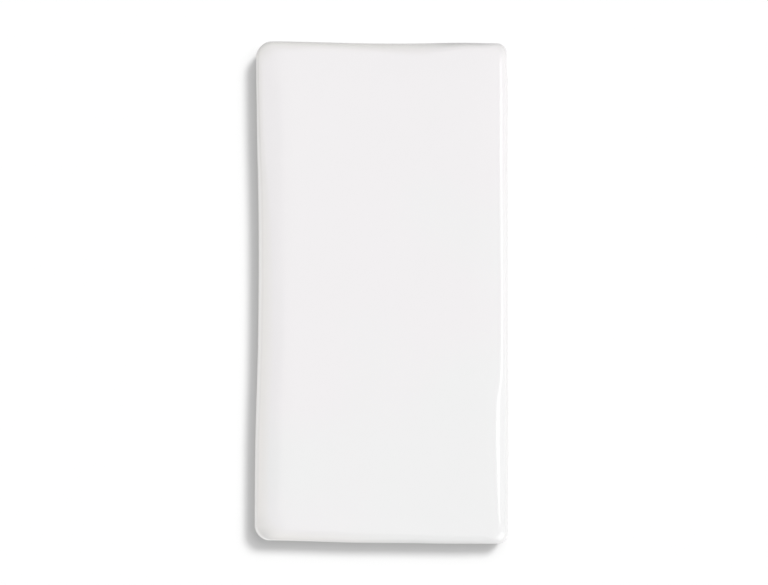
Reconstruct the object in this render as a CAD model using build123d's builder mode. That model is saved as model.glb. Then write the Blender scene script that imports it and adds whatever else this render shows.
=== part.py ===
from build123d import *
from math import cos, pi, radians, tan
import os

# A glazed ceramic wall tile, pressed and fired in one piece and finished by hand.
# Its face is flat in the middle, crowned towards its edges and rolled over at all four sides. The edges
# wander as hand-made ones do, the wall is drawn in towards the back, and the back has blind grooves
# that key into the adhesive.
# X runs across the tile, Y along it and Z out of its face. The origin is the middle of the back.

# The size the tile is sold as. The real edges bow in and out of this rectangle.
tile_width = 75.0
tile_length = 150.0
tile_thickness = 9.0

# How the section runs from the back up to the face
back_bevel = 0.6
wall_draft = 2.0
edge_height = 6.7

# The face falls to its edges twice over. A slight crown starts far in and is the same all round.
# Near the edge the face rolls over as a superellipse does: the outer power makes the turn into the
# wall tight, and the inner power lets the roll start gently.
crown_width = 12.0
crown_drop = 0.5
outer_power = 2.5
inner_power = 2.0

# Each side from its first corner to its last: where along the side, how far the edge bows out past
# the sold size, and how wide the face rolls over there. Places are shares of half the side's length.
right_side = [
    (-1.0, 0.42, 3.4),
    (-0.6, 0.58, 4.7),
    (-0.2, 0.40, 2.6),
    (0.2, 0.30, 2.6),
    (0.55, 0.29, 3.0),
    (0.84, 0.30, 3.1),
    (1.0, 0.02, 2.8),
]
top_side = [
    (-1.0, 0.30, 3.0),
    (-0.5, 0.02, 2.4),
    (-0.1, -0.33, 3.0),
    (0.3, -0.33, 4.6),
    (0.65, -0.13, 2.8),
    (1.0, -0.30, 2.0),
]
left_side = [
    (-1.0, 0.56, 6.6),
    (-0.6, 0.36, 6.8),
    (-0.2, -0.42, 7.5),
    (0.3, -0.58, 5.6),
    (0.68, -0.08, 2.6),
    (1.0, 0.12, 2.4),
]
bottom_side = [
    (-1.0, -0.66, 4.0),
    (-0.6, -0.41, 4.0),
    (-0.2, 0.03, 3.7),
    (0.2, 0.14, 3.5),
    (0.55, 0.30, 3.3),
    (1.0, 0.32, 3.2),
]

# Radius of each corner, seen from the front
top_right_radius = 3.0
top_left_radius = 5.0
bottom_left_radius = 4.5
bottom_right_radius = 3.2

# A corner opens out up the face: this share of the distance in from the edge is added to its radius.
corner_opening = 0.35

# The face is lofted through level sections, placed by how a side with the mean roll would meet them.
mean_roll_width = 3.4
roll_sections = 7
crown_sections = 5

# Keying grooves pressed into the back. They come in pairs, so that a land runs along the middle.
groove_pitch = 10.6
groove_width = 5.2
groove_depth = 0.8
groove_draft = 25.0
groove_end_margin = 9.0
groove_side_margin = 4.0

roll_drop = tile_thickness - edge_height - crown_drop
wall_slant = tan(radians(wall_draft))
groove_length = tile_length - 2 * groove_end_margin
groove_pairs = int((tile_width / 2 - groove_side_margin) / groove_pitch)


def face_height(reach, roll_width):
    """Height of the face this far in from the edge, where the roll is this wide."""
    past_roll = max(1 - reach / roll_width, 0)
    past_crown = max(1 - reach / crown_width, 0)
    roll_rise = (1 - past_roll**inner_power) ** (1 / outer_power)
    return edge_height + roll_drop * roll_rise + crown_drop * (1 - past_crown**2)


def face_reach(height, roll_width):
    """How far in from the edge the face has this height, found by halving the span it lies in."""
    if height <= edge_height:
        return 0.0
    near, far = 0.0, crown_width
    for _ in range(50):
        middle = (near + far) / 2
        if face_height(middle, roll_width) < height:
            near = middle
        else:
            far = middle
    return (near + far) / 2


def side_line(stations, half_length, half_width, height, inset):
    """The side's points as (place along it, distance out from the middle)."""
    half_run = half_length - face_reach(height, mean_roll_width)
    return [
        (place * half_run, half_width + bow - face_reach(height, roll_width) - inset)
        for place, bow, roll_width in stations
    ]


def outline(height, inset=0.0):
    """The tile's outline at one height: four wandering sides joined by four corner arcs.
    Above the edge the face's fall draws the sides in, and the inset draws them in besides."""
    half_width, half_length = tile_width / 2, tile_length / 2
    right = side_line(right_side, half_length, half_width, height, inset)
    top = side_line(top_side, half_width, half_length, height, inset)
    left = side_line(left_side, half_length, half_width, height, inset)
    bottom = side_line(bottom_side, half_width, half_length, height, inset)

    def radius(corner_radius, station):
        return corner_radius + corner_opening * face_reach(height, station[2]) - inset

    top_right = radius(top_right_radius, right_side[-1])
    top_left = radius(top_left_radius, left_side[-1])
    bottom_left = radius(bottom_left_radius, left_side[0])
    bottom_right = radius(bottom_right_radius, right_side[0])

    # How far each corner's two sides stand from the middle lines
    east, north = right[-1][1], top[-1][1]
    west, north_west = left[-1][1], top[0][1]
    west_low, south = left[0][1], bottom[0][1]
    east_low, south_east = right[0][1], bottom[-1][1]

    # The ends of each corner's arc, in the order that the outline runs: up the right side first
    top_right_start = (east, north - top_right)
    top_right_end = (east - top_right, north)
    top_left_start = (top_left - west, north_west)
    top_left_end = (-west, north_west - top_left)
    bottom_left_start = (-west_low, bottom_left - south)
    bottom_left_end = (bottom_left - west_low, -south)
    bottom_right_start = (east_low - bottom_right, -south_east)
    bottom_right_end = (east_low, bottom_right - south_east)

    right_points = [(out, along) for along, out in right[1:-1]]
    top_points = [(along, out) for along, out in reversed(top[1:-1])]
    left_points = [(-out, along) for along, out in reversed(left[1:-1])]
    bottom_points = [(along, -out) for along, out in bottom[1:-1]]

    with BuildSketch(Plane.XY.offset(height)) as section:
        with BuildLine():
            Spline(bottom_right_end, *right_points, top_right_start, tangents=[(0, 1), (0, 1)])
            RadiusArc(top_right_start, top_right_end, -top_right)
            Spline(top_right_end, *top_points, top_left_start, tangents=[(-1, 0), (-1, 0)])
            RadiusArc(top_left_start, top_left_end, -top_left)
            Spline(top_left_end, *left_points, bottom_left_start, tangents=[(0, -1), (0, -1)])
            RadiusArc(bottom_left_start, bottom_left_end, -bottom_left)
            Spline(bottom_left_end, *bottom_points, bottom_right_start, tangents=[(1, 0), (1, 0)])
            RadiusArc(bottom_right_start, bottom_right_end, -bottom_right)
        make_face()
    return section.sketch


back = outline(0, inset=back_bevel + edge_height * wall_slant)
wall_foot = outline(back_bevel, inset=(edge_height - back_bevel) * wall_slant)
wall_head = outline(edge_height)

roll_steps = [step / (roll_sections - 1) for step in range(roll_sections)]
roll_reaches = [mean_roll_width * (1 - cos(step * pi / 2)) for step in roll_steps]
crown_steps = [step / (crown_sections - 1) for step in range(crown_sections)]
crown_reaches = [mean_roll_width + (crown_width - mean_roll_width) * step for step in crown_steps]

with BuildPart() as tile:
    # The bevelled back and the wall, then the face: the roll at its edge and the crown inside that
    loft([back, wall_foot, wall_head], ruled=True)
    loft([outline(face_height(reach, mean_roll_width)) for reach in roll_reaches])
    loft([outline(face_height(reach, mean_roll_width)) for reach in crown_reaches])

    # The grooves in the back
    with BuildSketch(Plane.XY):
        with GridLocations(groove_pitch, 0, 2 * groove_pairs, 1):
            SlotOverall(groove_length, groove_width, rotation=90)
    extrude(amount=groove_depth, taper=groove_draft, mode=Mode.SUBTRACT)

tile.part.label = "tile"
os.makedirs("parts", exist_ok=True)
export_step(tile.part, "parts/tile.step")
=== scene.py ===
import bmesh
import bpy
import math
import random
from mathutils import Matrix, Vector, noise


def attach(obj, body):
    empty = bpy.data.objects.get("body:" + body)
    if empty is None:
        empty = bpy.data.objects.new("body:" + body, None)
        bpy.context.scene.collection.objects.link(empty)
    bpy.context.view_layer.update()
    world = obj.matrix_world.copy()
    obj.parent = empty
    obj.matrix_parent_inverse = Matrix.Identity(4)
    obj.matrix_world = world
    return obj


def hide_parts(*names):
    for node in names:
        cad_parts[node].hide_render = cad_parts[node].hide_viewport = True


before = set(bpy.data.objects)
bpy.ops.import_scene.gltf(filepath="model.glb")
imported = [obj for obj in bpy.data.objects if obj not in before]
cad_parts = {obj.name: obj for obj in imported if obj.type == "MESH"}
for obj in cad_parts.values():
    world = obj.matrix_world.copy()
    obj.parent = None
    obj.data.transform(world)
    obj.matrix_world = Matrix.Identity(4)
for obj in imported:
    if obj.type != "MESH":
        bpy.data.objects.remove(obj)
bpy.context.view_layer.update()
mm = 0.001

# The pressed tile, in mm and degrees. Each side lists (place along it, bow out past the sold size,
# width of the roll), with places as shares of half the side, up or to the right.
tileShape = {
    "width": 75.0,
    "length": 150.0,
    "thickness": 9.0,
    "edgeHeight": 6.7,
    "crownWidth": 12.0,
    "crownDrop": 0.5,
    "outerPower": 2.5,
    "innerPower": 2.0,
    "wallDraft": 2.0,
    "right": [
        (-1.0, 0.42, 3.4),
        (-0.6, 0.58, 4.7),
        (-0.2, 0.40, 2.6),
        (0.2, 0.30, 2.6),
        (0.55, 0.29, 3.0),
        (0.84, 0.30, 3.1),
        (1.0, 0.02, 2.8),
    ],
    "top": [
        (-1.0, 0.30, 3.0),
        (-0.5, 0.02, 2.4),
        (-0.1, -0.33, 3.0),
        (0.3, -0.33, 4.6),
        (0.65, -0.13, 2.8),
        (1.0, -0.30, 2.0),
    ],
    "left": [
        (-1.0, 0.56, 6.6),
        (-0.6, 0.36, 6.8),
        (-0.2, -0.42, 7.5),
        (0.3, -0.58, 5.6),
        (0.68, -0.08, 2.6),
        (1.0, 0.12, 2.4),
    ],
    "bottom": [
        (-1.0, -0.66, 4.0),
        (-0.6, -0.41, 4.0),
        (-0.2, 0.03, 3.7),
        (0.2, 0.14, 3.5),
        (0.55, 0.30, 3.3),
        (1.0, 0.32, 3.2),
    ],
    "cornerRadii": [3.0, 5.0, 4.5, 3.2],  # top right, top left, bottom left, bottom right
    "cornerOpening": 0.35,
    "meanRoll": 3.4,
    "bevel": [(0.62, 0.03), (0.5, 0.1), (0.1, 0.5), (0.03, 0.62), (0.0, 0.8)],  # at the back: (height, inset)
    "shrink": 0.02,  # keeps the glaze just inside the pressed shape
    "longSteps": 240,
    "shortSteps": 120,
    "cornerSteps": 16,
    "crownRings": 8,
    "rollRings": 20,
    "lastReach": 0.004,  # one more ring this close to the edge
    "sharpAngle": 40.0,
    "flatFrom": 0.999,  # faces whose normals point down this much shade flat
}


def travelOrder(stations):  # the same stations for a side that is walked downwards or to the left
    return [(-place, bow, roll) for place, bow, roll in reversed(stations)]


halfWidth = tileShape["width"] / 2
halfLength = tileShape["length"] / 2
longSteps = tileShape["longSteps"]
shortSteps = tileShape["shortSteps"]
wallSlant = math.tan(math.radians(tileShape["wallDraft"]))

# The four sides in the order that the outline is walked: up the right side, then round to the left
tileSides = [
    {"stations": tileShape["right"], "half": halfLength, "out": halfWidth, "steps": longSteps},
    {"stations": travelOrder(tileShape["top"]), "half": halfWidth, "out": halfLength, "steps": shortSteps},
    {"stations": travelOrder(tileShape["left"]), "half": halfLength, "out": halfWidth, "steps": longSteps},
    {"stations": tileShape["bottom"], "half": halfWidth, "out": halfLength, "steps": shortSteps},
]


def faceHeight(reach, roll):  # height of the face this far in from an edge whose roll is this wide
    pastRoll = max(1 - reach / roll, 0)
    pastCrown = max(1 - reach / tileShape["crownWidth"], 0)
    crownDrop = tileShape["crownDrop"]
    rollDrop = tileShape["thickness"] - tileShape["edgeHeight"] - crownDrop
    rise = (1 - pastRoll ** tileShape["innerPower"]) ** (1 / tileShape["outerPower"])
    return tileShape["edgeHeight"] + rollDrop * rise + crownDrop * (1 - pastCrown**2)


def faceReach(height, roll):  # how far in from the edge the face has this height, found by halving
    if height <= tileShape["edgeHeight"]:
        return 0.0
    halvings = 40
    near, far = 0.0, tileShape["crownWidth"]
    for halving in range(halvings):
        middle = (near + far) / 2
        if faceHeight(middle, roll) < height:
            near = middle
        else:
            far = middle
    return (near + far) / 2


def curveThrough(knots, steps):  # points of a smooth curve through the knots, level at both ends
    slopes = [0.0]
    for before, here, after in zip(knots, knots[1:], knots[2:]):
        gapIn, gapOut = here[0] - before[0], after[0] - here[0]
        riseIn, riseOut = (here[1] - before[1]) / gapIn, (after[1] - here[1]) / gapOut
        slopes.append((riseIn * gapOut + riseOut * gapIn) / (gapIn + gapOut))
    slopes.append(0.0)
    points = []
    span = 0
    for step in range(steps):
        place = knots[0][0] + (knots[-1][0] - knots[0][0]) * step / steps
        while place > knots[span + 1][0]:
            span += 1
        (low, start), (high, end) = knots[span], knots[span + 1]
        gap = high - low
        t = (place - low) / gap
        value = start * (1 + 2 * t) * (1 - t) ** 2 + end * t * t * (3 - 2 * t)
        value += gap * (slopes[span] * t * (1 - t) ** 2 - slopes[span + 1] * t * t * (1 - t))
        points.append((value, place))
    return points


def quarterTurned(point, turns):
    x, y = point
    for turn in range(turns):
        x, y = -y, x
    return (x, y)


def outlineRing(height, inset=0.0):  # the outline in mm at one height: the face's fall draws it in
    inset += tileShape["shrink"]
    meanReach = faceReach(height, tileShape["meanRoll"])
    outs = [
        [side["out"] + bow - faceReach(height, roll) - inset for place, bow, roll in side["stations"]]
        for side in tileSides
    ]
    right, left = tileSides[0]["stations"], tileSides[2]["stations"]
    cornerRolls = [right[-1][2], left[0][2], left[-1][2], right[0][2]]
    radii = [
        radius + tileShape["cornerOpening"] * faceReach(height, roll) - inset
        for radius, roll in zip(tileShape["cornerRadii"], cornerRolls)
    ]
    ring = []
    for turn, side in enumerate(tileSides):
        start = radii[turn - 1] - outs[turn - 1][-1]
        end = outs[(turn + 1) % len(tileSides)][0] - radii[turn]
        halfRun = side["half"] - meanReach
        inner = [(place * halfRun, out) for (place, bow, roll), out in zip(side["stations"], outs[turn])]
        knots = [(start, outs[turn][0])] + inner[1:-1] + [(end, outs[turn][-1])]
        points = curveThrough(knots, side["steps"])
        centre = (outs[turn][-1] - radii[turn], end)
        for step in range(tileShape["cornerSteps"]):
            angle = math.pi / 2 * step / tileShape["cornerSteps"]
            x = centre[0] + radii[turn] * math.cos(angle)
            points.append((x, centre[1] + radii[turn] * math.sin(angle)))
        ring += [quarterTurned(point, turn) for point in points]
    return ring


# How the glaze lies on the face and runs down the wall, and the bare foot below it, in mm
glazeShape = {
    "seed": 7.3,
    "faceWave": 0.035,
    "faceWaveLength": 26.0,
    "longWaveShare": 0.7,
    "shortWaveShare": 0.3,
    "shortWaves": 3,  # how many short waves go to a long one
    "waveFade": 1.5,  # the waves come in over this height above the edge
    "sagFall": 0.6,  # the right side sags further than pressed
    "sagReach": 6.0,
    "sagSpan": (-80.0, -68.0, -34.0, -25.0),  # y where the sag starts, is full, is last full and ends
    "sagFade": (9.0, 5.0),  # how far in from the right side it starts and is full
    "lineHeight": 2.1,
    "lineWander": 0.95,
    "lineWanderLength": 17.0,
    "lineRipple": 0.3,
    "lineRippleLength": 4.0,
    "lowestLine": 1.0,
    "runs": 15,
    "runDepth": (0.25, 0.85),
    "runWidth": (0.9, 2.2),
    "wallRings": (0.12, 0.3, 0.5, 0.7, 0.86),  # shares of the way down the wall to the bead
    "wallWander": 0.03,
    "wallWanderLength": 9.0,
    "wallWanderPace": 3,  # it changes this much faster up the wall than along it
    "wallWanderFade": 2.0,  # and comes in over this depth below the edge
    "beadOut": 0.09,
    "beadHeight": 0.75,
    "bead": [  # (height above the glaze line in beadHeights, bulge as a share of beadOut)
        (1.6, 0.0),
        (1.0, 0.25),
        (0.6, 0.7),
        (0.3, 1.0),
        (0.12, 0.8),
        (0.04, 0.2),
    ],
    "footIn": 0.07,
    "footEnd": 0.8,
    "foot": [(0.0, 0.4), (0.35, 1.0), (0.7, 1.0), (1.0, 1.0)],  # (share of the way to footEnd, of footIn)
}

# Each kind of waviness reads the noise at its own level
noiseLevels = {
    "longWave": 10,
    "shortWave": 20,
    "lineWander": 30,
    "lineRipple": 40,
    "wallWander": 50,
    "pooling": 60,
}


def waver(x, y, length, kind):  # smooth noise from -1 to 1 with waves about this long
    return noise.noise(Vector((x / length, y / length, glazeShape["seed"] + noiseLevels[kind])))


def between(value, low, high):
    return min(1, max(0, (value - low) / (high - low)))


def smooth(share):
    return share * share * (3 - 2 * share)


def faceDip(x, y):  # how far the glazed face dips below its highest level
    length = glazeShape["faceWaveLength"]
    wave = glazeShape["longWaveShare"] * waver(x, y, length, "longWave")
    wave += glazeShape["shortWaveShare"] * waver(x, y, length / glazeShape["shortWaves"], "shortWave")
    return glazeShape["faceWave"] * (1 + wave) / 2


def sag(x, y, away):  # how far the face sags this far in from the right-hand edge
    low, lowFull, highFull, high = glazeShape["sagSpan"]
    span = smooth(between(y, low, lowFull)) * smooth(between(-y, -high, -highFull))
    start, full = glazeShape["sagFade"]
    onRight = smooth(between(x, halfWidth - start, halfWidth - full))
    return glazeShape["sagFall"] * span * onRight * max(0, 1 - away / glazeShape["sagReach"]) ** 2


def runsOfGlaze(outline):  # how far the glaze ran down past its line at each point of the wall
    dice = random.Random(glazeShape["seed"])
    runs = [0.0] * len(outline)
    for number in range(glazeShape["runs"]):
        x, y = outline[dice.randrange(len(outline))]
        depth = dice.uniform(*glazeShape["runDepth"])
        width = dice.uniform(*glazeShape["runWidth"])
        for i, (otherX, otherY) in enumerate(outline):
            away = math.hypot(otherX - x, otherY - y) / width
            runs[i] = max(runs[i], depth * math.exp(-away * away))
    return runs


def glazeLine(outline):  # how high the glaze ends at each point of the wall
    line = []
    for (x, y), run in zip(outline, runsOfGlaze(outline)):
        level = glazeShape["lineHeight"]
        level += glazeShape["lineWander"] * waver(x, y, glazeShape["lineWanderLength"], "lineWander")
        level += glazeShape["lineRipple"] * waver(x, y, glazeShape["lineRippleLength"], "lineRipple") - run
        line.append(max(level, glazeShape["lowestLine"]))
    return line


def faceReaches():  # how far in from the mean edge each ring of the face runs, from the flat field out
    roll, crown = tileShape["meanRoll"], tileShape["crownWidth"]
    crownRings, rollRings = tileShape["crownRings"], tileShape["rollRings"]
    reaches = [roll + (crown - roll) * (1 - step / crownRings) for step in range(crownRings)]
    reaches += [roll * (1 - math.sin(math.pi / 2 * step / rollRings)) for step in range(rollRings)]
    return reaches + [tileShape["lastReach"], 0.0]


def faceRings(outline):  # rings of the face out to its edge, each a list of (x, y, z) in mm
    rings = []
    for reach in faceReaches():
        height = faceHeight(reach, tileShape["meanRoll"])
        wavy = min(1, (height - tileShape["edgeHeight"]) / glazeShape["waveFade"])
        points = []
        for (x, y), (outX, outY) in zip(outlineRing(height), outline):
            away = math.hypot(outX - x, outY - y)
            points.append((x, y, height - wavy * faceDip(x, y) - sag(outX, outY, away)))
        rings.append(points)
    return rings


def wallRing(levels, bulge, outline):  # a ring round the wall at these levels, pushed out by its bulge
    wallTop = tileShape["edgeHeight"]
    mean = sum(levels) / len(levels)
    nearest = 1e-6  # a point closer than this to the outline isn't pushed
    points = []
    for (x, y), (outX, outY), z in zip(outlineRing(mean, (wallTop - mean) * wallSlant), outline, levels):
        along, up = x + y, z * glazeShape["wallWanderPace"]
        wander = glazeShape["wallWander"] * waver(along, up, glazeShape["wallWanderLength"], "wallWander")
        push = bulge + wander * min(1, (wallTop - z) / glazeShape["wallWanderFade"])
        outward = Vector((outX - x, outY - y))
        if outward.length > nearest:
            outward.normalize()
        points.append((x + outward.x * push, y + outward.y * push, z))
    return points


def wallRings(outline, line, edge):  # down the glazed wall from the face's edge to the glaze line
    bead = glazeShape["beadHeight"]
    beadTop = bead * glazeShape["bead"][0][0]
    rings = []
    for share in glazeShape["wallRings"]:
        levels = [top + (z + beadTop - top) * share for z, (x, y, top) in zip(line, edge)]
        rings.append(wallRing(levels, 0.0, outline))
    for above, bulge in glazeShape["bead"]:
        rings.append(wallRing([z + bead * above for z in line], bulge * glazeShape["beadOut"], outline))
    return rings


def bareRings(outline, line):  # down the bare foot and round the bevel to the back
    rings = []
    for share, inward in glazeShape["foot"]:
        levels = [z + (glazeShape["footEnd"] - z) * share for z in line]
        rings.append(wallRing(levels, -glazeShape["footIn"] * inward, outline))
    footInset = tileShape["edgeHeight"] * wallSlant + glazeShape["footIn"]
    for height, inset in tileShape["bevel"]:
        rings.append([(x, y, height) for x, y in outlineRing(height, footInset + inset)])
    return rings


def facePatch(edge):  # a grid across the flat field: points inside it, and places along the ring at its edge
    count = len(edge)
    half = tileShape["cornerSteps"] // 2
    across = shortSteps + 2 * half
    along = longSteps + 2 * half
    topRight = longSteps + half
    topLeft = topRight + across
    bottomLeft = topLeft + along
    bottomRight = (bottomLeft + across) % count

    def inside(i, j, low, high, west, east):  # blended from the four edges and their corners
        u, v = i / across, j / along
        point = []
        for axis in (0, 1):
            value = (1 - v) * edge[low][axis] + v * edge[high][axis]
            value += (1 - u) * edge[west][axis] + u * edge[east][axis]
            value -= (1 - u) * (1 - v) * edge[bottomLeft][axis] + u * (1 - v) * edge[bottomRight][axis]
            value -= (1 - u) * v * edge[topLeft][axis] + u * v * edge[topRight][axis]
            point.append(value)
        return tuple(point)

    grid = []
    for j in range(along + 1):
        west, east = (bottomLeft - j) % count, (bottomRight + j) % count
        line = []
        for i in range(across + 1):
            low, high = (bottomLeft + i) % count, (topLeft - i) % count
            if j == 0:
                line.append(low)
            elif j == along:
                line.append(high)
            elif i == 0:
                line.append(west)
            elif i == across:
                line.append(east)
            else:
                line.append(inside(i, j, low, high, west, east))
        grid.append(line)
    return grid


# Where the glaze is warm or pooled, and where shade and highlights are painted on it. Lengths and places are
# in mm.
glazeCover = {
    "warmRings": (8, 18),  # the warm tint of thin glaze, partly painted shade, grows over these rings of the face
    "warmMiddle": 0.6,
    "warmUp": 0.4,  # the painted warm shade is this much stronger at the top, and weaker at the bottom
    "rimHeights": (3.5, 6.0),  # how high up the wall the painted shade on the rims starts and is full
    "rimEnds": (5.0, 2.0),  # how far in from both ends it starts and is full
    "topRim": [  # where along the top edge, share, and how far in
        (-20.0, 0.37, 1.4),
        (-8.0, 0.18, 2.4),
        (6.0, 0.24, 3.0),
        (15.0, 0.46, 2.7),
        (20.0, 1.1, 2.3),
        (29.0, 0.85, 2.1),
        (33.0, 0.5, 1.6),
    ],
    "bottomRim": (0.44, 1.4),  # share, and how far in
    "bottomRimFade": (27.0, 33.0),  # where it fades out towards the right
    "shadedCorners": [  # painted shade in these corners: x, y, size and share
        (-36.3, 73.6, 2.6, 0.25),
        (-36.0, -73.6, 3.4, 0.85),
        (-36.0, -69.4, 2.8, 0.26),
        (36.5, 73.5, 2.0, 0.3),
    ],
    "leftFade": (15.0, 33.0),  # how far left of the middle the left edge's painted highlight and shade start and are full
    "leftTop": (3.0, 4.0),  # they end this far below the top, and fade over this much
    "lightRim": (0.05, 0.35, 0.7, 1.0),  # a painted highlight runs along the left edge, over this span
    "darkLine": (1.35, 0.4, 0.22),  # and a line of painted shade inside that: how far in, how wide and its share
    "rightFade": (32.0, 36.0),  # how far right of the middle the right edge's painted highlight starts and is full
    "rightRim": (0.38, 0.9, 1.5),  # a fainter painted highlight at the right: share, and the span in which it fades
    "poolRight": 0.3,
    "poolDown": 0.5,
    "poolWander": 0.5,
    "poolLength": 30.0,
    "poolFull": 0.35,
}


def warmGlazeAndShade(ring, x, y):  # thin warm glaze over the roll with painted shade, only at the left and the top, not at the right
    lean = glazeCover["warmMiddle"] - x / halfWidth + glazeCover["warmUp"] * y / halfLength
    return between(ring, *glazeCover["warmRings"]) * between(lean, 0, 1)


def topRim(x):  # the share and the width of the painted shade rim here along the top edge
    stations = glazeCover["topRim"]
    for (west, share, width), (east, nextShare, nextWidth) in zip(stations, stations[1:]):
        if x <= east:
            part = smooth(between(x, west, east))
            return share + (nextShare - share) * part, width + (nextWidth - width) * part
    return stations[-1][1:]


def leftEdge(x, y):  # how far a point belongs to the left edge or to the lower left corner
    gap, fade = glazeCover["leftTop"]
    return between(-x, *glazeCover["leftFade"]) * between(halfLength - gap - y, 0, fade)


def paintedShadeShare(away, x, y, z):  # how much painted shade lies over both ends, some corners and the dark line
    onRim = between(z, *glazeCover["rimHeights"])
    start, end = glazeCover["rimEnds"]
    onEnd = between(abs(y), halfLength - start, halfLength - end) * onRim
    if y > 0:
        most, width = topRim(x)
    else:
        most, width = glazeCover["bottomRim"]
        most *= 1 - between(x, *glazeCover["bottomRimFade"])
    share = most * onEnd * between(width - away, 0, width)
    for cornerX, cornerY, size, most in glazeCover["shadedCorners"]:
        off = math.hypot(x - cornerX, y - cornerY) / size
        share = max(share, most * math.exp(-off * off) * onRim)
    middle, width, most = glazeCover["darkLine"]
    line = max(0, 1 - abs(away - middle) / width) * leftEdge(x, y)
    return max(share, most * line)


def paintedHighlightShare(away, x, y):  # how much painted highlight lies along the left and right edges
    start, near, far, end = glazeCover["lightRim"]
    left = leftEdge(x, y) * between(away, start, near) * between(-away, -end, -far)
    most, full, faded = glazeCover["rightRim"]
    right = most * between(x, *glazeCover["rightFade"]) * between(-away, -faded, -full)
    return max(left, right)


def pooling(x, y):  # where the glaze pooled thicker and whiter, mostly towards the lower right
    lean = glazeCover["poolRight"] * x / halfWidth - glazeCover["poolDown"] * y / halfLength
    lean += glazeCover["poolWander"] * waver(x, y, glazeCover["poolLength"], "pooling")
    return between(lean, 0.0, glazeCover["poolFull"])


# The tile's two materials, in the order in which it gets them
glazeIndex, bodyIndex = 0, 1


def joinRings(mesh, rings, glazedRows):  # glazed down to the glaze line and bare below it
    for row, (upper, lower) in enumerate(zip(rings, rings[1:])):
        for i in range(len(upper)):
            after = (i + 1) % len(upper)
            side = mesh.faces.new((upper[i], lower[i], lower[after], upper[after]))
            side.material_index = glazeIndex if row < glazedRows - 1 else bodyIndex
            side.smooth = True


def fillField(mesh, edge, edgeVerts, pool):  # the flat field inside the face's first ring
    grid = []
    for places in facePatch(edge):
        verts = []
        for place in places:
            if isinstance(place, int):
                verts.append(edgeVerts[place])
                continue
            x, y = place
            vert = mesh.verts.new(Vector((x, y, tileShape["thickness"] - faceDip(x, y))) * mm)
            vert[pool] = pooling(x, y)
            verts.append(vert)
        grid.append(verts)
    for low, high in zip(grid, grid[1:]):
        for i in range(len(low) - 1):
            field = mesh.faces.new((low[i], low[i + 1], high[i + 1], high[i]))
            field.smooth = True


def finishedMesh(mesh, name):
    data = bpy.data.meshes.new(name)
    mesh.to_mesh(data)
    mesh.free()
    return data


def tileMesh():
    outline = outlineRing(tileShape["edgeHeight"])
    line = glazeLine(outline)
    face = faceRings(outline)
    wall = wallRings(outline, line, face[-1])
    rows = face + wall + bareRings(outline, line)
    glazedRows = len(face) + len(wall)
    mesh = bmesh.new()
    # Layers: warm glaze with painted shade, painted shade on the rims, pooled glaze and a painted highlight
    warmShadeLayer = mesh.verts.layers.float.new("thinGlazeAndShade")
    shadeLayer = mesh.verts.layers.float.new("rimShade")
    pool = mesh.verts.layers.float.new("pooledGlaze")
    # full holds the painted highlight along the side edges
    full = mesh.verts.layers.float.new("rimHighlight")

    rings = []
    for row, points in enumerate(rows):
        ring = [mesh.verts.new(Vector(point) * mm) for point in points]
        for vert, (x, y, z), (outX, outY) in zip(ring, points, outline):
            away = math.hypot(outX - x, outY - y)
            vert[warmShadeLayer] = warmGlazeAndShade(row, x, y)
            vert[shadeLayer] = paintedShadeShare(away, x, y, z)
            vert[pool] = pooling(x, y)
            vert[full] = paintedHighlightShare(away, x, y) if row < len(face) else 0.0
        rings.append(ring)
    joinRings(mesh, rings, glazedRows)
    fillField(mesh, rows[0], rings[0], pool)
    back = mesh.faces.new(list(reversed(rings[-1])))
    back.material_index = bodyIndex
    return finishedMesh(mesh, "glazedTile")


# Blind grooves that key the back into its adhesive, in mm and degrees
grooves = {
    "pairs": 3,
    "pitch": 10.6,
    "width": 5.2,
    "depth": 0.8,
    "draft": 25.0,
    "endMargin": 9.0,
    "endSteps": 14,
    "cutBelow": 0.2,  # the cutter starts this far below the back
    "lip": 0.12,  # how far the mouth and the floor are rounded. The values below are multiples of it.
    "flare": 3,  # how much wider the cutter is where it starts
    "mouth": [(0.0, 1.0), (0.6, 0.2)],  # (height, how much wider)
    "flank": (1.6, 1.0),  # the flank starts this far above the back and ends this far short of the floor
    "floor": [(0.3, 0.5), (0.0, 1.6)],  # (how far short of the floor, how much narrower)
}


def grooveSections():  # (height, how much wider than the groove) from below the back up to the groove's floor
    depth, lip = grooves["depth"], grooves["lip"]
    slope = math.tan(math.radians(grooves["draft"]))
    sections = [(-grooves["cutBelow"], lip * grooves["flare"])]
    sections += [(lip * up, lip * wider) for up, wider in grooves["mouth"]]
    start, end = grooves["flank"]
    sections += [(height, -height * slope) for height in (lip * start, depth - lip * end)]
    sections += [(depth - lip * short, -depth * slope - lip * inward) for short, inward in grooves["floor"]]
    return sections


def grooveCutter():
    mesh = bmesh.new()
    halfRun = tileShape["length"] / 2 - grooves["endMargin"] - grooves["width"] / 2
    for number in range(2 * grooves["pairs"]):
        middle = (number - grooves["pairs"] + 0.5) * grooves["pitch"]
        rings = []
        for height, grow in grooveSections():
            radius = grooves["width"] / 2 + grow
            ring = []
            for end in (1, -1):
                for step in range(grooves["endSteps"] + 1):
                    angle = math.pi * step / grooves["endSteps"]
                    x = end * radius * math.cos(angle)
                    y = end * (halfRun + radius * math.sin(angle))
                    ring.append(mesh.verts.new(Vector((middle + x, y, height)) * mm))
            rings.append(ring)
        count = len(rings[0])
        for lower, upper in zip(rings, rings[1:]):
            for i in range(count):
                after = (i + 1) % count
                mesh.faces.new((lower[i], lower[after], upper[after], upper[i]))
        mesh.faces.new(list(reversed(rings[0])))
        mesh.faces.new(rings[-1])
    for face in mesh.faces:
        face.material_index = bodyIndex
    return finishedMesh(mesh, "grooveCutter")


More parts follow.
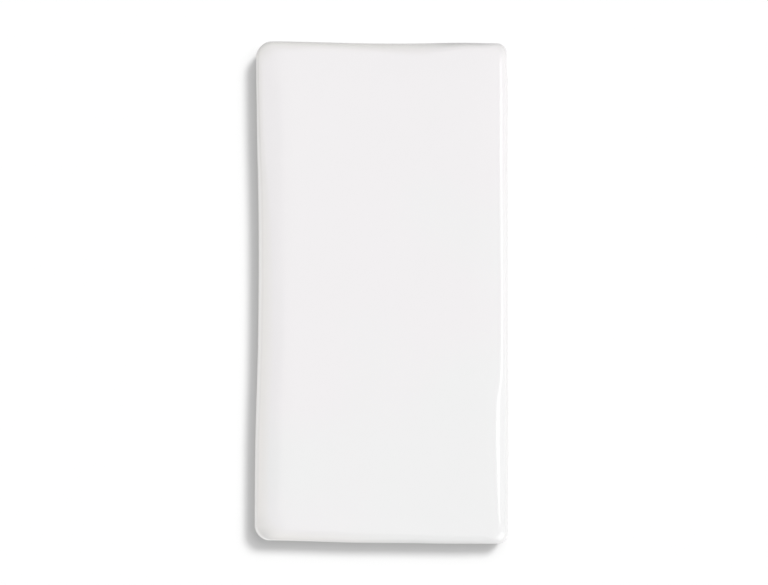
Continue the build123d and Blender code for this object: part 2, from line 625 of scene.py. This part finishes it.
# Colours and fine surface of the fired glaze. Lengths are in mm.
glazeLook = {
    "thick": (0.878, 0.860, 0.869, 1),
    # thin warm glaze, partly painted shade, on the left and top rolls
    "warmAndShadedEdge": (0.874, 0.857, 0.838, 1),
    # painted shade on the top and bottom rims, some corners and a line at the left
    "paintedShade": (0.665, 0.66, 0.655, 1),
    # the painted highlight along the left and right edges
    "full": (0.975, 0.965, 0.955, 1),
    "pooled": (0.868, 0.868, 0.868, 1),
    "mottle": 0.006,
    "patchLength": 18.0,
    "roughness": (0.05, 0.11),
    "peelLength": 3.2,
    "peelHeight": 0.0015,
    "pinholeSpacing": 6.5,
    "pinholeSize": 0.16,
    "pinholeDepth": 0.05,
}

# The mesh's layers and the colours they mix in, each over the one before
glazeLayers = {
    "pooledGlaze": glazeLook["pooled"],
    "thinGlazeAndShade": glazeLook["warmAndShadedEdge"],
    "rimShade": glazeLook["paintedShade"],
    "rimHighlight": glazeLook["full"],
}


class Nodes:  # short calls for a material's node tree
    def __init__(self, tree):
        self.tree = tree
        tree.nodes.clear()

    def add(self, kind, **settings):
        node = self.tree.nodes.new(kind)
        for name, value in settings.items():
            if hasattr(node, name):
                setattr(node, name, value)
            else:
                node.inputs[name].default_value = value
        return node

    def join(self, output, target):
        self.tree.links.new(output, target)

    def mixed(self, share, first, second):  # a mix of two colours, each a value or another node's output
        mix = self.add("ShaderNodeMix", data_type="RGBA")
        self.join(share, mix.inputs["Factor"])
        sockets = [socket for socket in mix.inputs if socket.type == "RGBA"]
        for socket, colour in zip(sockets, (first, second)):
            if isinstance(colour, tuple):
                socket.default_value = colour
            else:
                self.join(colour, socket)
        return [socket for socket in mix.outputs if socket.type == "RGBA"][0]

    def ranged(self, low, high):  # maps 0 to 1 onto this span
        span = self.add("ShaderNodeMapRange")
        span.inputs["To Min"].default_value = low
        span.inputs["To Max"].default_value = high
        return span


def glazeMaterial():
    material = bpy.data.materials.new("whiteGlaze")
    material.use_nodes = True
    nodes = Nodes(material.node_tree)
    output = nodes.add("ShaderNodeOutputMaterial")
    glaze = nodes.add("ShaderNodeBsdfPrincipled", IOR=1.5)
    nodes.join(glaze.outputs["BSDF"], output.inputs["Surface"])
    where = nodes.add("ShaderNodeTexCoord").outputs["Object"]

    # The colour: the thick glaze, the layers over it with their painted shade and highlights, and a faint
    # mottle
    patches = nodes.add("ShaderNodeTexNoise", Scale=1 / (glazeLook["patchLength"] * mm), Detail=3.0)
    nodes.join(where, patches.inputs["Vector"])
    tinted = glazeLook["thick"]
    for layer, tint in glazeLayers.items():
        share = nodes.add("ShaderNodeAttribute", attribute_name=layer)
        tinted = nodes.mixed(share.outputs["Fac"], tinted, tint)
    mottle = nodes.ranged(1 - glazeLook["mottle"], 1 + glazeLook["mottle"])
    nodes.join(patches.outputs["Fac"], mottle.inputs["Value"])
    colour = nodes.add("ShaderNodeVectorMath", operation="SCALE")
    nodes.join(tinted, colour.inputs[0])
    nodes.join(mottle.outputs["Result"], colour.inputs["Scale"])
    nodes.join(colour.outputs["Vector"], glaze.inputs["Base Color"])

    gloss = nodes.ranged(*glazeLook["roughness"])
    nodes.join(patches.outputs["Fac"], gloss.inputs["Value"])
    nodes.join(gloss.outputs["Result"], glaze.inputs["Roughness"])

    # Orange peel and pinholes
    peel = nodes.add("ShaderNodeTexNoise", Scale=1 / (glazeLook["peelLength"] * mm), Detail=2.0)
    nodes.join(where, peel.inputs["Vector"])
    peelBump = nodes.add("ShaderNodeBump", Strength=1.0, Distance=glazeLook["peelHeight"] * mm)
    nodes.join(peel.outputs["Fac"], peelBump.inputs["Height"])
    holes = nodes.add("ShaderNodeTexVoronoi", Scale=1 / (glazeLook["pinholeSpacing"] * mm))
    nodes.join(where, holes.inputs["Vector"])
    hole = nodes.add("ShaderNodeMapRange", interpolation_type="SMOOTHSTEP")
    hole.inputs["From Max"].default_value = glazeLook["pinholeSize"] / glazeLook["pinholeSpacing"]
    nodes.join(holes.outputs["Distance"], hole.inputs["Value"])
    holeBump = nodes.add("ShaderNodeBump", Strength=1.0, Distance=glazeLook["pinholeDepth"] * mm)
    nodes.join(hole.outputs["Result"], holeBump.inputs["Height"])
    nodes.join(peelBump.outputs["Normal"], holeBump.inputs["Normal"])
    nodes.join(holeBump.outputs["Normal"], glaze.inputs["Normal"])
    return material


# The bare fired clay. Lengths are in mm.
bodyLook = {
    "pale": (0.80, 0.765, 0.71, 1),
    "paleFrom": 0.62,
    "dark": (0.70, 0.66, 0.60, 1),
    "darkUpTo": 0.3,
    "roughness": 0.88,
    "grainLength": 0.5,
    "grainHeight": 0.02,
    "patchLength": 14.0,
}


def bodyMaterial():
    material = bpy.data.materials.new("bareBody")
    material.use_nodes = True
    nodes = Nodes(material.node_tree)
    output = nodes.add("ShaderNodeOutputMaterial")
    clay = nodes.add("ShaderNodeBsdfPrincipled", Roughness=bodyLook["roughness"], IOR=1.45)
    nodes.join(clay.outputs["BSDF"], output.inputs["Surface"])
    where = nodes.add("ShaderNodeTexCoord").outputs["Object"]

    patchScale = 1 / (bodyLook["patchLength"] * mm)
    patches = nodes.add("ShaderNodeTexNoise", Scale=patchScale, Detail=6.0, Roughness=0.6)
    nodes.join(where, patches.inputs["Vector"])
    colour = nodes.add("ShaderNodeValToRGB")
    dark, pale = colour.color_ramp.elements
    dark.position = bodyLook["darkUpTo"]
    dark.color = bodyLook["dark"]
    pale.position = bodyLook["paleFrom"]
    pale.color = bodyLook["pale"]
    nodes.join(patches.outputs["Fac"], colour.inputs["Fac"])
    nodes.join(colour.outputs["Color"], clay.inputs["Base Color"])

    grainScale = 1 / (bodyLook["grainLength"] * mm)
    grain = nodes.add("ShaderNodeTexNoise", Scale=grainScale, Detail=5.0, Roughness=0.65)
    nodes.join(where, grain.inputs["Vector"])
    bump = nodes.add("ShaderNodeBump", Strength=0.8, Distance=bodyLook["grainHeight"] * mm)
    nodes.join(grain.outputs["Fac"], bump.inputs["Height"])
    nodes.join(bump.outputs["Normal"], clay.inputs["Normal"])
    return material


def addObject(name, data):
    piece = bpy.data.objects.new(name, data)
    bpy.context.scene.collection.objects.link(piece)
    return piece


def carved(piece, cutter):  # the piece's mesh without what the cutter takes away
    cut = piece.modifiers.new("grooves", "BOOLEAN")
    cut.operation = "DIFFERENCE"
    cut.solver = "EXACT"
    cut.object = cutter
    bpy.context.view_layer.update()
    depsgraph = bpy.context.evaluated_depsgraph_get()
    data = bpy.data.meshes.new_from_object(piece.evaluated_get(depsgraph))
    piece.modifiers.clear()
    return data


tile = addObject("glazedTile", tileMesh())
cutter = addObject("grooveCutter", grooveCutter())
for material in (glazeMaterial(), bodyMaterial()):  # as in glazeIndex and bodyIndex
    tile.data.materials.append(material)
    cutter.data.materials.append(material)
tile.data = carved(tile, cutter)
tile.data.name = "glazedTile"
bpy.data.objects.remove(cutter)
tile.data.set_sharp_from_angle(angle=math.radians(tileShape["sharpAngle"]))
for face in tile.data.polygons:
    if face.normal.z < -tileShape["flatFrom"]:  # the flat back and the floors of its grooves
        face.use_smooth = False
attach(tile, "root")
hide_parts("tile")
triangles = sum(len(face.vertices) - 2 for face in tile.data.polygons)
print("tile made,", len(tile.data.polygons), "faces,", triangles, "triangles")

# The studio: a pale floor and sky, lamps and a camera that looks straight down. Metres and degrees, with
# the lens and the sensor in mm. Each lamp is (azimuth from +X towards +Y, elevation, softness, strength).
studio = {
    "floorSize": 3.0,
    "floorColour": (0.2, 0.2, 0.2, 1),
    "floorGlow": 0.296,
    "skyLight": 0.2,
    "skyColour": (1, 1, 1, 1),
    "tileLamps": {
        "overhead": (0.0, 90.0, 100.0, 0.54),
        "rightSoft": (0.0, 56.4, 80.0, 1.245),
        "rightLine": (0.0, 59.0, 18.0, 0.22),
        "rightLow": (0.0, 20.0, 60.0, 0.18),
        "lowerRight": (-45.0, 40.0, 30.0, 0.52),
        "upperLeft": (135.0, 40.0, 30.0, 0.13),
        "leftLow": (180.0, 20.0, 60.0, 0.62),
    },
    "floorLamps": {
        "floorKey": (49.9, 51.6, 16.0, 7.34),
        "floorSoft": (50.6, 63.4, 55.0, 5.3),
    },
    "cameraHeight": 0.6461,
    "cameraAside": 0.00075,
    "cameraLens": 100.0,
    "cameraSensor": 36.0,
}


def towards(azimuth, elevation):  # unit vector to a lamp
    turn, lift = math.radians(azimuth), math.radians(elevation)
    return Vector((math.cos(turn) * math.cos(lift), math.sin(turn) * math.cos(lift), math.sin(lift)))


def sunLamp(name, azimuth, elevation, softness, strength):
    data = bpy.data.lights.new(name, "SUN")
    data.energy = strength
    data.angle = math.radians(softness)
    lamp = addObject(name, data)
    lamp.rotation_euler = towards(azimuth, elevation).to_track_quat("Z", "Y").to_euler()
    return lamp


def floorMaterial():  # matt, with a glow that only the camera and reflections see
    material = bpy.data.materials.new("paleFloor")
    material.use_nodes = True
    nodes = Nodes(material.node_tree)
    output = nodes.add("ShaderNodeOutputMaterial")
    matt = nodes.add("ShaderNodeBsdfDiffuse")
    matt.inputs["Color"].default_value = studio["floorColour"]
    glow = nodes.add("ShaderNodeEmission")
    path = nodes.add("ShaderNodeLightPath")
    seen = nodes.add("ShaderNodeMath", operation="ADD", use_clamp=True)
    nodes.join(path.outputs["Is Camera Ray"], seen.inputs[0])
    nodes.join(path.outputs["Is Glossy Ray"], seen.inputs[1])
    strength = nodes.add("ShaderNodeMath", operation="MULTIPLY")
    nodes.join(seen.outputs[0], strength.inputs[0])
    strength.inputs[1].default_value = studio["floorGlow"]
    nodes.join(strength.outputs[0], glow.inputs["Strength"])
    both = nodes.add("ShaderNodeAddShader")
    nodes.join(matt.outputs[0], both.inputs[0])
    nodes.join(glow.outputs[0], both.inputs[1])
    nodes.join(both.outputs[0], output.inputs["Surface"])
    return material


def makeFloor():
    size = studio["floorSize"] / 2
    data = bpy.data.meshes.new("floor")
    corners = [(-size, -size, 0), (size, -size, 0), (size, size, 0), (-size, size, 0)]
    data.from_pydata(corners, [], [(0, 1, 2, 3)])
    floor = addObject("floor", data)
    data.materials.append(floorMaterial())
    return floor


def makeSky():  # dim as a light, and plain white where the camera sees it
    world = bpy.data.worlds.new("paleSky")
    bpy.context.scene.world = world
    world.use_nodes = True
    nodes = Nodes(world.node_tree)
    output = nodes.add("ShaderNodeOutputWorld")
    light = nodes.add("ShaderNodeBackground", Strength=studio["skyLight"])
    light.inputs["Color"].default_value = studio["skyColour"]
    seenWhite = nodes.add("ShaderNodeBackground", Strength=1.0)
    seenWhite.inputs["Color"].default_value = studio["skyColour"]
    path = nodes.add("ShaderNodeLightPath")
    mix = nodes.add("ShaderNodeMixShader")
    nodes.join(path.outputs["Is Camera Ray"], mix.inputs["Fac"])
    nodes.join(light.outputs[0], mix.inputs[1])
    nodes.join(seenWhite.outputs[0], mix.inputs[2])
    nodes.join(mix.outputs[0], output.inputs["Surface"])


def makeCamera():
    data = bpy.data.cameras.new("camera")
    data.lens = studio["cameraLens"]
    data.sensor_width = studio["cameraSensor"]
    camera = addObject("camera", data)
    camera.location = (studio["cameraAside"], 0, studio["cameraHeight"])
    bpy.context.scene.camera = camera


floor = makeFloor()
makeSky()

# The tile and the floor each have their own lamps
for lit, lamps in ((tile, studio["tileLamps"]), (floor, studio["floorLamps"])):
    receivers = bpy.data.collections.new("lit" + lit.name)
    receivers.objects.link(lit)
    for name, aim in lamps.items():
        sunLamp(name, *aim).light_linking.receiver_collection = receivers

bpy.context.scene.view_settings.view_transform = "Standard"
makeCamera()
print("studio set")
